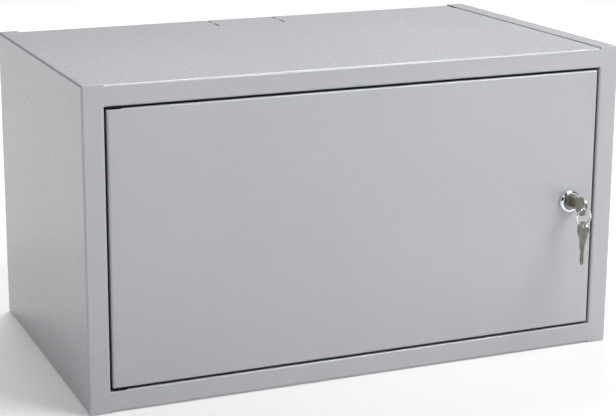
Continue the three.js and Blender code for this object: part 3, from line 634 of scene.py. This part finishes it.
def door_leaf():
    """The door's folded tray, with its rim, lock hole and pin holes."""
    x, lip_x = door_high.x, door_high.x - DOOR_LIP
    low, high = door_low.z, door_high.z
    front, back = door_low.y, door_high.y
    xs = [-x, -lip_x, lip_x, x]
    zs = [low, low + DOOR_LIP, high - DOOR_LIP, high]
    quads = grid("y", front, xs, zs, -1)
    quads += grid("z", high, xs, [front, back], 1) + grid("z", low, xs, [front, back], -1)
    quads += grid("x", x, [front, back], zs, 1) + grid("x", -x, [front, back], zs, -1)
    window = lambda u, v: abs(u) < lip_x and low + DOOR_LIP < v < high - DOOR_LIP
    quads += grid("y", back, xs, zs, 1, window)
    pin = centre("hinge_pin_upper")
    holes = [cylinder_cutter((LOCK_AT.x, front, LOCK_AT.z), "y", LOCK_HOLE, PIERCE, 64)]
    holes += [cylinder_cutter((pin.x, pin.y, z), "z", PIN_HOLE, PIERCE, 32) for z in (low, high)]
    return folded_piece("door_leaf", ["door_panel"], quads,
                        lambda e: CORNER if along(e) == "y" else BEND, cutters=holes)


def refined(node, edge, smooth_angle=35):
    """The frame's own shape of a node with its flat faces whole and its sharp edges rounded."""
    source = frame["nodes"][node]
    bm = bmesh.new()
    bm.from_mesh(source.data)
    bmesh.ops.transform(bm, matrix=source.matrix_world, verts=bm.verts)
    bmesh.ops.remove_doubles(bm, verts=bm.verts, dist=SAME)
    bmesh.ops.dissolve_limit(bm, angle_limit=math.radians(0.5), verts=bm.verts, edges=bm.edges)
    obj = object_from(bm, f"{node}_made")
    soften(obj, edge, angle=smooth_angle)
    return finish_piece(obj, [node], smooth_angle=smooth_angle)


def cut_solid(bm, cutters, name):
    """The solid with the cutters taken out of it, as a settled object."""
    obj = object_from(bm, name + "_blank")
    tool = cut_with(obj, cutters)
    made = settled(obj, name)
    bpy.data.objects.remove(tool)
    return made


def back_sheet():
    """The flat back panel with its screw and wall-fixing holes."""
    low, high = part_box("back_panel")
    holes = []
    for hand in ("left", "right"):
        for level in ("lower", "middle", "upper"):
            at = centre(f"back_screw_{level}_{hand}")
            holes.append(cylinder_cutter((at.x, low.y, at.z), "y", SCREW_HOLE, REAR_PIERCE, 32))
    for x in (-WALL_HOLE["x"], WALL_HOLE["x"]):
        for z in (WALL_HOLE["from_end"], HEIGHT - WALL_HOLE["from_end"]):
            holes.append(cylinder_cutter((x, low.y, z), "y", WALL_HOLE["radius"], REAR_PIERCE))
    obj = cut_solid(box_cutter(low, high), holes, "case_back")
    soften(obj, EDGE)
    return finish_piece(obj, ["back_panel"])


def hinge_pad(level):
    """A black nylon pad that fills the gap at the door's hinge corner, with its sleeve in the frame's lip."""
    word = "upper" if level > 0 else "lower"
    place = lambda z: MIDDLE + level * (z - MIDDLE)
    low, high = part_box(f"hinge_bush_{word}")
    pin = centre(f"hinge_pin_{word}")
    levels = sorted([place(door_high.z + PAD["off_door"]), place(OPENING_TOP - PAD["off_lip"])])
    block = box_cutter((low.x, low.y - PAD["forward"], levels[0]), (high.x, high.y, levels[1]))
    blank = object_from(block, "pad_blank")
    sleeve_at = (pin.x, pin.y, place(OPENING_TOP + PAD["sleeve_at"]))
    sleeve = object_from(cylinder_cutter(sleeve_at, "z", PAD["sleeve"], PAD["sleeve_length"], 40), "sleeve")
    join_with(blank, sleeve)
    bore_at = (pin.x, pin.y, place(OPENING_TOP))
    bore = cut_with(blank, [cylinder_cutter(bore_at, "z", PAD["bore"], PAD["bore_length"], 32)])
    made = settled(blank, f"hinge_pad_{word}")
    for spent in (sleeve, bore):
        bpy.data.objects.remove(spent)
    soften(made, PAD["soft"], segments=3)
    return finish_piece(made, [f"hinge_bush_{word}"])


# ---------- lock and keys ----------
def on_lock_axis(profile):
    """A turned solid from (radius, depth) points in millimetres, on the lock's axis."""
    at = (LOCK_AT.x, door_low.y, MIDDLE)
    return turned_mesh([(r * MM, u * MM) for r, u in profile], at, "y", 96)


def lock_case():
    """Domed bezel, threaded barrel and bore, turned in one."""
    c = LOCK_CASE
    rim_at = c["front"] + c["rim_round"]
    profile = [(c["rim"], c["recess"]), (c["rim"], rim_at)]
    profile += arc((c["rim"] + c["rim_round"], rim_at), c["rim_round"], 180, 270, 4)[1:]
    width, depth = c["radius"] - c["flat"], c["skirt_front"] - c["front"]
    quarter = [math.pi / 2 * k / 14 for k in range(15)]
    profile += [(c["flat"] + width * math.sin(t), c["skirt_front"] - depth * math.cos(t)) for t in quarter]
    profile += [(c["radius"] - r, u) for r, u in c["skirt"]]
    profile += [(c["barrel"], c["skirt"][-1][1]), (c["barrel"], c["thread_start"])]
    for turn in range(c["turns"]):
        start = c["thread_start"] + turn
        profile += [(c["barrel"], start + 0.1), (c["root"], start + 0.5), (c["barrel"], start + 0.9)]
    profile += [(c["end_radius"], c["end"]), (c["bore"], c["end"]), (c["bore"], c["recess"])]
    return finish_piece(object_from(on_lock_axis(profile), "lock_case"), ["lock_body"], smooth_angle=28)


def lock_core():
    """The plug: turned face and shank, keyway, square tail and tapped hole."""
    c = LOCK_CORE
    corner = (c["face"] - c["round"], c["front"] + c["round"])
    profile = [(0, c["front"]), (c["centre"], c["front"]), (corner[0], c["front"])]
    profile += arc(corner, c["round"], -90, 0, 4)[1:]
    profile += [(c["face"] - r, u) for r, u in c["rim_back"]]
    profile += [(c["shank"], c["rim_back"][-1][1]), (c["shank"], c["end"]), (0, c["end"])]
    body = object_from(on_lock_axis(profile), "core_blank")
    at = Vector((LOCK_AT.x, door_low.y, MIDDLE))

    def bar(half_x, span, half_z):
        return box_cutter(at + Vector((-half_x, span[0], -half_z)) * MM,
                          at + Vector((half_x, span[1], half_z)) * MM)

    tail = object_from(bar(c["square"], c["square_span"], c["square"]), "square")
    join_with(body, tail)
    keyway = bar(c["keyway"][0], c["keyway_span"], c["keyway"][1])
    tap_at = at + Vector((0, c["tap_at"], 0)) * MM
    tap = cylinder_cutter(tap_at, "y", c["tap"] * MM, c["tap_length"] * MM, 24)
    tool = cut_with(body, [keyway, tap])
    made = settled(body, "lock_core")
    for spent in (tool, tail):
        bpy.data.objects.remove(spent)
    soften(made, 0.15 * MM, angle=55)
    return finish_piece(made, ["lock_plug"], smooth_angle=28)


def key_outline():
    """The key's outline in millimetres; x runs along the blade from the shoulder, y across it."""
    half, neck, shoulder, flat = KEY["half"], KEY["neck"], KEY["shoulder"], KEY["cut_flat"]
    bow, tall = KEY["bow"]
    first = KEY["bow_opening"]
    upper = [(0, half), (0, shoulder - 0.5), (-0.15, shoulder - 0.15), (-0.5, shoulder),
             (-neck + 2.2, shoulder), (-neck + 1.5, shoulder + 0.05)]
    lower = [(x, -y) for x, y in reversed(upper)]
    ring = []
    for k in range(KEY["bow_steps"] + 1):
        t = first + (2 * math.pi - 2 * first) * k / KEY["bow_steps"]
        ring.append((-neck - bow + bow * math.cos(t), tall * math.sin(t)))
    points = upper + ring + lower + [(KEY["bevel"], -half)] + KEY_NOSE
    pitch = KEY["cut_pitch"]
    for k, depth in enumerate(KEY["cuts"]):
        x, crest = KEY["bevel"] - k * pitch, half - KEY["crest"]
        points += [(x, crest), (x - flat, crest), (x - pitch / 2 + flat, half - depth),
                   (x - pitch / 2 - flat, half - depth)]
    return points + [(KEY["first_cut"] - flat, half)]


def key_made(name, node, hanging):
    """A nickel key with a bow, milled grooves, cut bitting and rounded edges."""
    low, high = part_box(node)
    middle, tip = (low + high) / 2, KEY["tip"] * MM
    if hanging:
        place = lambda p, w: Vector((middle.x + w * MM, middle.y + p[1] * MM, low.z + tip - p[0] * MM))
    else:
        place = lambda p, w: Vector((middle.x + w * MM, high.y - tip + p[0] * MM, middle.z + p[1] * MM))

    def slab(points, w0, w1):
        bm = bmesh.new()
        face = bm.faces.new([bm.verts.new(place(p, w0)) for p in points])
        made = bmesh.ops.extrude_face_region(bm, geom=[face])
        top = [v for v in made["geom"] if isinstance(v, bmesh.types.BMVert)]
        bmesh.ops.translate(bm, vec=place((0, 0), w1) - place((0, 0), w0), verts=top)
        bmesh.ops.recalc_face_normals(bm, faces=bm.faces)
        return bm

    def oval(cx, rx, ry, steps=40):
        return [(cx + rx * math.cos(t), ry * math.sin(t))
                for t in (2 * math.pi * k / steps for k in range(steps))]

    eye_x, eye = KEY["eye"]
    cuts = [slab(oval(eye_x, eye, eye), -KEY["through"], KEY["through"])]
    for side in (-1, 1):
        near, far = (KEY["grooves"][side] + s * KEY["groove_half"] for s in (-1, 1))
        start, end = KEY["groove_span"]
        groove = [(start, near), (end, near), (end, far), (start, far)]
        cuts.append(slab(groove, *sorted([side * KEY["groove_floor"], side * KEY["past"]])))
        cuts.append(slab(oval(*KEY["dish"]), *sorted([side * KEY["dish_floor"], side * KEY["past"]])))
    obj = cut_solid(slab(key_outline(), -KEY["thick"], KEY["thick"]), cuts, name)
    soften(obj, KEY["soft"] * MM, angle=40, segments=3)
    return finish_piece(obj, [node], smooth_angle=30)


def split_ring():
    """Two turns of flattened spring wire, crossing over for a part of a turn."""
    low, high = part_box("key_ring")
    at = (low + high) / 2
    radius = (high.x - low.x) / 2 - RING["inset"]
    steps, around, crossing = RING["steps"], RING["around"], RING["crossing"]
    bm = bmesh.new()
    rings = []
    for k in range(steps + 1):
        turn = RING["turns"] * k / steps
        angle = math.radians(RING["start"]) + 2 * math.pi * turn
        blend = min(1.0, max(0.0, (turn - 1 + crossing / 2) / crossing))
        offset = RING["pitch"] * (2 * (3 * blend ** 2 - 2 * blend ** 3) - 1)
        out = Vector((math.cos(angle), 0, math.sin(angle)))
        middle = at + out * radius + Vector((0, offset, 0))
        fade = min(1.0, min(k, steps - k) / RING["end_steps"] + RING["end_width"])
        wide, flat = RING["wide"] * fade, RING["flat"] * fade
        section = [(wide * math.cos(t), flat * math.sin(t))
                   for t in (2 * math.pi * j / around for j in range(around))]
        rings.append([bm.verts.new(middle + out * w + Vector((0, f, 0))) for w, f in section])
    for a, b in zip(rings, rings[1:]):
        for j in range(around):
            i = (j + 1) % around
            bm.faces.new([a[j], a[i], b[i], b[j]])
    bm.faces.new(rings[0][::-1])
    bm.faces.new(rings[-1])
    bmesh.ops.recalc_face_normals(bm, faces=bm.faces)
    return finish_piece(object_from(bm, "split_ring"), ["key_ring"], smooth_angle=60)


# ---------- camera, stage and light ----------
CAMERA = {"sensor": 36, "lens": 95.15, "shift": (0.0974, -0.0974), "at": (-0.7027, -1.6263, 0.6299),
          "right": (0.9316, -0.3635, -0.0031), "forward": (0.3530, 0.9073, -0.2282), "reach": 50}
LIGHTS = [
    {"name": "overhead_back", "at": (0.5, 1.5, 2.2), "aim": (0.2, 0, 0.2), "size": (1.7, 1.6),
     "power": 60},
    {"name": "strip", "at": (0.74, -0.80, 1.55), "aim": (0.3, -0.17, 0.33), "size": (1.0, 0.5),
     "power": 24.5},
    {"name": "overhead_left", "at": (-1.3, -1.0, 1.6), "aim": (-0.3, -0.1, 0.25), "size": (0.7, 0.7),
     "power": 5.5, "colour": (0.92, 0.96, 1.0)},
]
FLOOR = {"size": 30, "below": 0.0002, "albedo": 0.74, "roughness": 0.9, "glow": (0.25, 0.6), "reach": 4.0,
         "glow_from": 0.18, "glow_to": 0.6}
SKY = {"strength": 0.16, "bright_side": (0.45, -0.25, 0.86), "levels": (0.06, 1.0, -0.1, 0.9),
       "flag": (-0.30, -0.42, 0.86), "flag_colour": (0.02, 0.02, 0.02), "flag_edge": (0.93, 0.96)}


def camera():
    """A long lens from the left and above, with a little fall to keep the uprights upright."""
    data = bpy.data.cameras.new("camera")
    data.sensor_width, data.lens = CAMERA["sensor"], CAMERA["lens"]
    data.shift_x, data.shift_y = CAMERA["shift"]
    data.clip_end = CAMERA["reach"]
    obj = bpy.data.objects.new("camera", data)
    bpy.context.scene.collection.objects.link(obj)
    right = Vector(CAMERA["right"]).normalized()
    forward = Vector(CAMERA["forward"]).normalized()
    up = right.cross(forward).normalized()
    right = forward.cross(up)
    turn = Matrix((right, up, -forward)).transposed().to_4x4()
    obj.matrix_world = Matrix.Translation(CAMERA["at"]) @ turn
    bpy.context.scene.camera = obj
    return obj


def area_light(name, at, aim, size, power, colour=(1, 1, 1)):
    data = bpy.data.lights.new(name, "AREA")
    data.shape = "RECTANGLE"
    data.size, data.size_y = size
    data.energy = power
    data.color = colour
    obj = bpy.data.objects.new(name, data)
    bpy.context.scene.collection.objects.link(obj)
    obj.location = at
    obj.rotation_mode = "QUATERNION"
    obj.rotation_quaternion = (Vector(aim) - Vector(at)).to_track_quat("-Z", "Y")
    return obj


def dot_with(nodes, links, direction):
    """How nearly the view through the world points along a direction."""
    coordinates = nodes.new("ShaderNodeTexCoord")
    towards = nodes.new("ShaderNodeVectorMath")
    towards.operation = "DOT_PRODUCT"
    towards.inputs[1].default_value = direction
    links.new(coordinates.outputs["Generated"], towards.inputs[0])
    return towards.outputs["Value"]


def stage():
    """A pale floor that glows a little more far away, a dim sky with a dark flag, and the lights."""
    bm = bmesh.new()
    bmesh.ops.create_grid(bm, x_segments=1, y_segments=1, size=FLOOR["size"])
    floor = object_from(bm, "floor")
    floor.location.z = -FLOOR["below"]
    material, nodes, links, shader = new_material("pale_floor")
    shader.inputs["Base Color"].default_value = (*[FLOOR["albedo"]] * 3, 1)
    shader.inputs["Roughness"].default_value = FLOOR["roughness"]
    shader.inputs["Emission Color"].default_value = (1, 1, 1, 1)
    coordinates = nodes.new("ShaderNodeTexCoord")
    reach = nodes.new("ShaderNodeMapping")
    reach.inputs["Scale"].default_value = [1 / FLOOR["reach"]] * 3
    distance = nodes.new("ShaderNodeVectorMath")
    distance.operation = "LENGTH"
    links.new(coordinates.outputs["Object"], reach.inputs["Vector"])
    links.new(reach.outputs["Vector"], distance.inputs[0])
    span = (FLOOR["glow_from"], FLOOR["glow_to"])
    glow = ramp(nodes, links, distance.outputs["Value"], *FLOOR["glow"], *span)
    links.new(glow, shader.inputs["Emission Strength"])
    floor.data.materials.append(material)

    world = bpy.data.worlds.new("world")
    bpy.context.scene.world = world
    world.use_nodes = True
    nodes, links = world.node_tree.nodes, world.node_tree.links
    sky = ramp(nodes, links, dot_with(nodes, links, SKY["bright_side"]), *SKY["levels"])
    flag = dot_with(nodes, links, Vector(SKY["flag"]).normalized())
    shaded = ramp(nodes, links, flag, 0.0, 1.0, *SKY["flag_edge"])
    links.new(mixed(nodes, links, shaded, sky, SKY["flag_colour"]), nodes["Background"].inputs["Color"])
    nodes["Background"].inputs["Strength"].default_value = SKY["strength"]
    for light in LIGHTS:
        area_light(**light)
    bpy.context.scene.view_settings.view_transform = "Standard"


camera()
stage()
side_panel(-1)
side_panel(1)
frame_panel(1)
frame_panel(-1)
for side in (-1, 1):
    for level in (-1, 1):
        weld_backing(side, level)
door_leaf()
back_sheet()
lock_case()
lock_core()
key_made("door_key", "key", False)
key_made("hanging_key", "spare_key", True)
split_ring()
hinge_pad(1)
hinge_pad(-1)
for node in list(frame["nodes"]):
    for start, width in REFINED.items():
        if node.startswith(start):
            refined(node, width * MM)
for node, obj in frame["nodes"].items():
    if not obj.hide_render:
        obj.data.materials.clear()
        obj.data.materials.append(MATERIALS[SLOT_OF[node]])
